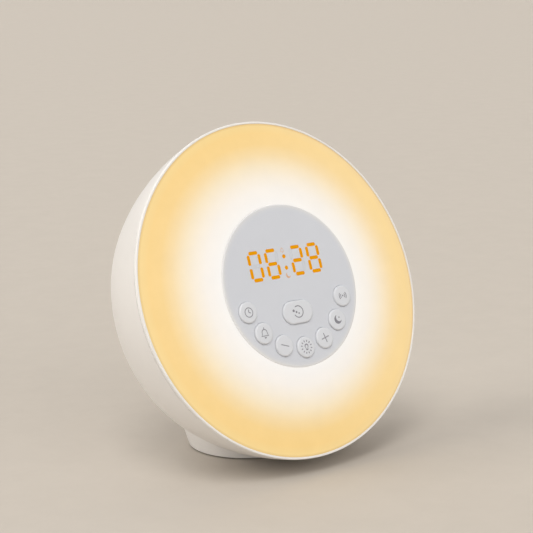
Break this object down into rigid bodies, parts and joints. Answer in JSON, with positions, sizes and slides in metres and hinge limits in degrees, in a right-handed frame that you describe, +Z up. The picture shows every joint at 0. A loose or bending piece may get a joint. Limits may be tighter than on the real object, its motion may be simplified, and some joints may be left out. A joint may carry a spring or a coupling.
{
  "type": "sunrise alarm clock",
  "caption": "Round white sunrise alarm clock with a glowing domed ring, a pale grey panel with amber digits and buttons, and a small round foot.",
  "frame": {"origin": "centre of the foot's underside, on the surface that the clock stands on", "axes": "+Z is up, the face looks along -Y and leans back by 21 degrees, +X is to the right of someone who looks at the face"},
  "size_m": [0.175, 0.1035, 0.1716],
  "materials": {
    "white_housing": "fine satin-matte moulded plastic",
    "white_gloss": "bright semi-gloss plastic lip",
    "glow_diffuser": "frosted translucent plastic, lit warm amber from inside",
    "grey_panel": "pale grey satin plastic",
    "grey_button": "pale grey satin key caps with printed icons",
    "amber_window": "lit amber light windows",
    "dim_window": "unlit light windows, close to the panel's grey",
    "dark_plastic": "black moulded plastic",
    "dark_rubber": "dark soft rubber",
    "board_green": "solder-masked circuit board",
    "board_white": "white solder-masked LED board",
    "led_resin": "yellow LED resin",
    "steel": "zinc-plated or bare steel",
    "cone_black": "black paper cone",
    "magnet_grey": "ferrite magnet in a steel pot",
    "contact_brass": "plated spring contacts",
    "ballast_iron": "plain iron weight",
    "ribbon_grey": "flat ribbon insulation",
    "lead_red": "PVC insulation",
    "lead_black": "PVC insulation"
  },
  "bodies": {
    "case": {"rear_housing": "white_housing", "front_bezel": "white_gloss", "diffuser": "glow_diffuser", "front_panel": "grey_panel", "switch_bodies": "steel", "lit_segments": "amber_window", "unlit_segments": "dim_window", "display_module": "dark_plastic", "main_board": "board_green", "control_chip": "dark_plastic", "panel_screws": "steel", "reflector": "white_housing", "led_board": "board_white", "leds": "led_resin", "led_board_screws": "steel", "speaker_frame": "steel", "speaker_cone": "cone_black", "speaker_magnet": "magnet_grey", "speaker_screws": "steel", "power_socket": "dark_plastic", "antenna_grommet": "dark_rubber", "coin_cell": "steel", "battery_contacts": "contact_brass", "housing_screws": "steel", "foot": "white_housing", "foot_screws": "steel", "foot_cover": "grey_panel", "cover_screws": "steel", "foot_pad": "dark_rubber", "ballast_weight": "ballast_iron", "ribbon_cable": "ribbon_grey", "speaker_leads": "lead_red", "power_leads": "lead_black", "battery_leads": "lead_red"},
    "clock_key": {"clock_button": "grey_button", "clock_plunger": "dark_plastic"},
    "alarm_key": {"alarm_button": "grey_button", "alarm_plunger": "dark_plastic"},
    "minus_key": {"minus_button": "grey_button", "minus_plunger": "dark_plastic"},
    "light_key": {"light_button": "grey_button", "light_plunger": "dark_plastic"},
    "plus_key": {"plus_button": "grey_button", "plus_plunger": "dark_plastic"},
    "sleep_key": {"sleep_button": "grey_button", "sleep_plunger": "dark_plastic"},
    "radio_key": {"radio_button": "grey_button", "radio_plunger": "dark_plastic"},
    "snooze_key": {"snooze_button": "grey_button", "snooze_plunger": "dark_plastic"},
    "cap": {"battery_cap": "white_housing"}
  },
  "joints": [
    {"name": "clock_press", "type": "slide", "parent": "case", "child": "clock_key", "axis": [0, 0.9336, -0.3584], "range_m": [0, 0.0006], "stiffness_N_per_m": 400},
    {"name": "alarm_press", "type": "slide", "parent": "case", "child": "alarm_key", "axis": [0, 0.9336, -0.3584], "range_m": [0, 0.0006], "stiffness_N_per_m": 400},
    {"name": "minus_press", "type": "slide", "parent": "case", "child": "minus_key", "axis": [0, 0.9336, -0.3584], "range_m": [0, 0.0006], "stiffness_N_per_m": 400},
    {"name": "light_press", "type": "slide", "parent": "case", "child": "light_key", "axis": [0, 0.9336, -0.3584], "range_m": [0, 0.0006], "stiffness_N_per_m": 400},
    {"name": "plus_press", "type": "slide", "parent": "case", "child": "plus_key", "axis": [0, 0.9336, -0.3584], "range_m": [0, 0.0006], "stiffness_N_per_m": 400},
    {"name": "sleep_press", "type": "slide", "parent": "case", "child": "sleep_key", "axis": [0, 0.9336, -0.3584], "range_m": [0, 0.0006], "stiffness_N_per_m": 400},
    {"name": "radio_press", "type": "slide", "parent": "case", "child": "radio_key", "axis": [0, 0.9336, -0.3584], "range_m": [0, 0.0006], "stiffness_N_per_m": 400},
    {"name": "snooze_press", "type": "slide", "parent": "case", "child": "snooze_key", "axis": [0, 0.9336, -0.3584], "range_m": [0, 0.0006], "stiffness_N_per_m": 400},
    {"name": "cap_turn", "type": "hinge", "parent": "case", "child": "cap", "pos_m": [-0.026, 0.00981, 0.04828], "axis": [0, 0.9336, -0.3584], "range_deg": [0, 60]}
  ]
}
